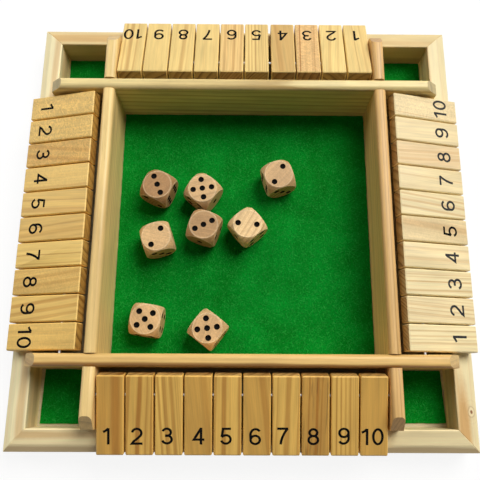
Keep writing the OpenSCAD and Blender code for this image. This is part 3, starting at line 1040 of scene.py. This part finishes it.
# ---- felt

def felt_layer(bm, low, high, z, cells, stray, splay):
    """Rows of points at one height, strayed inward at the edges, where the top is also lower."""
    columns, rows = cells
    grid = []
    for j in range(rows + 1):
        forward = 1 - 2 * j / rows
        first, last = low.x + splay[0] * forward, high.x + splay[1] * forward
        line = []
        for i in range(columns + 1):
            x = first + (last - first) * i / columns
            y = low.y + (high.y - low.y) * j / rows
            x += (i == 0) * abs(stray[0][j]) - (i == columns) * abs(stray[1][j])
            y += (j == 0) * abs(stray[2][i]) - (j == rows) * abs(stray[3][i])
            rim = z == high.z and (i in (0, columns) or j in (0, rows))
            line.append(bm.verts.new((x, y, z - rim * FELT_FRAY)))
        grid.append(line)
    return grid


def felt_mesh(name, low, high, chance, splay):
    """A sheet whose cut edges wander a little, from corner to corner.

    splay moves the left and the right edge at the front, and as far the other way at the back.
    """
    columns = round((high.x - low.x) / FELT_STEP)
    rows = round((high.y - low.y) / FELT_STEP)
    stray = [[chance.uniform(-FELT_FRAY, FELT_FRAY) for _ in range(max(columns, rows) + 1)]
             for _ in range(4)]
    bm = bmesh.new()
    under, over = [felt_layer(bm, low, high, z, (columns, rows), stray, splay)
                   for z in (low.z, high.z)]
    corners = ((0, 0), (1, 0), (1, 1), (0, 1))
    for j in range(rows):
        for i in range(columns):
            for grid, order in ((over, corners), (under, corners[::-1])):
                bm.faces.new([grid[j + b][i + a] for a, b in order])
    outline = ([(i, 0) for i in range(columns)] + [(columns, j) for j in range(rows)]
               + [(i, rows) for i in range(columns, 0, -1)] + [(0, j) for j in range(rows, 0, -1)])
    for (a, b), (c, d) in zip(outline, outline[1:] + outline[:1]):
        bm.faces.new((under[b][a], under[d][c], over[d][c], over[b][a]))
    return mesh_of(name, bm)


def lay_felt(name, node, low, high, felt, chance, splay=(0.0, 0.0)):
    """A sheet of felt laid flat on the panel, in place of the CAD's."""
    mesh = felt_mesh(name, low, high, chance, splay)
    mesh.materials.append(felt)
    mesh.shade_smooth()
    mesh.set_sharp_from_angle(angle=FELT_SHARP_FROM)
    piece = add_object(name, mesh)
    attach(piece, body_of_node[node])
    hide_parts(node)


def lay_felts():
    """The felt of the tray and of the four corner wells."""
    felt = felt_material()
    chance = random.Random(FELT_SEED)
    lay_felt("tray_felt", "felt_tray", *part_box("felt_tray"), felt, chance)
    low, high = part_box("felt_wells")
    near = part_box("rail_right")[1].x + WELL_INNER_GAP
    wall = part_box("base_panel")[1].x - FRAME_REBATE
    for corner, (side_x, side_y, gap_x, gap_y, splay) in WELLS.items():
        left, right = sorted((side_x * near, side_x * (wall - gap_x * MM)))
        front, back = sorted((side_y * near, side_y * (wall - gap_y * MM)))
        edges = (0.0, splay * MM) if side_x > 0 else (-splay * MM, 0.0)
        lay_felt(f"{corner}_felt", "felt_wells", Vector((left, front, low.z)),
                 Vector((right, back, high.z)), felt, chance, edges)


# ---- wooden parts

def dress_tiles():
    """Each tile's own wood, and its eased edges, which are pale: part wear, part painted highlight."""
    for row, (side, angle) in enumerate(SIDES.items()):
        for number, look in enumerate(TILE_LOOKS[side], start=1):
            node = f"{side}_tile_{number}"
            turn = (-TILE_SLOPE, 0, angle)
            middle, half = local_box(node, Euler(turn))
            # To the player of that row, local X runs from right to left
            look = look._replace(lines=[(-x, wide, dark) for x, wide, dark in look.lines])
            seed = row * TILE_SEEDS_PER_ROW + number
            dress(node, wood(node, WOODS[side], turn, middle, seed, look,
                             END_TINTS_AND_PAINTED_SHADE[side], top=half.z, edge_wear_highlight=TILE_EDGE_WEAR_AND_HIGHLIGHT))
            ease_edges(node, TILE_EDGE)


def dress_frame():
    """The woods of the frame's members, the rails and the base panel."""
    for row, (side, angle) in enumerate(SIDES.items()):
        along = (0, 0, angle + pi / 2)
        out = Matrix.Rotation(angle, 3, "Z") @ Vector((0, 1, 0))
        node = f"frame_{side}"
        low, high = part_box(node)
        middle = out * FRAME_AXIS + Vector((0, 0, (low.z + high.z) / 2))
        dress(node, wood(node, WOODS[node], along, middle, FRAME_SEED + row,
                         FRAME_LOOKS[side], FRAME_END_TINT, top=(high.z - low.z) / 2,
                         roughness=0.5, patch=FRAME_PATCHES.get(side),
                         knot=FRAME_KNOTS.get(side), inner=FRAME_INNER_PAINTED_SHADE.get(side)))
        ease_edges(node, FRAME_EDGE)
        node = f"rail_{side}"
        low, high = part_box(node)
        dress(node, wood(node, WOODS[node], along, (low + high) / 2, RAIL_SEED + row,
                         RAIL_LOOKS[side], RAIL_END_TINTS_AND_PAINTED_SHADE[side], top=(high.z - low.z) / 2,
                         end_from=RAIL_END_FROM, end_lines=RAIL_END_LINES,
                         inner=RAIL_INNER_PAINTED_LIGHT.get(side)))
        ease_edges(node, RAIL_EDGE)
    dress("base_panel", wood("base_panel", WOODS["panel"], (0, 0, pi / 2), (0, 0, 0),
                             PANEL_SEED, Look(PEELED), PANEL_END_TINT, roughness=0.6))


make_camera()
make_world()
for lamp, values in LAMPS.items():
    area_light(lamp, *values)
make_floor()

dress("hinge_rods", steel_material())
lay_felts()
dress_tiles()
dress_frame()
paint_numbers()
pip_black = paint_material("pip_black", PIP_INK)
for die_number in DICE:
    make_die(die_number, pip_black)

bpy.context.scene.view_settings.view_transform = "Standard"
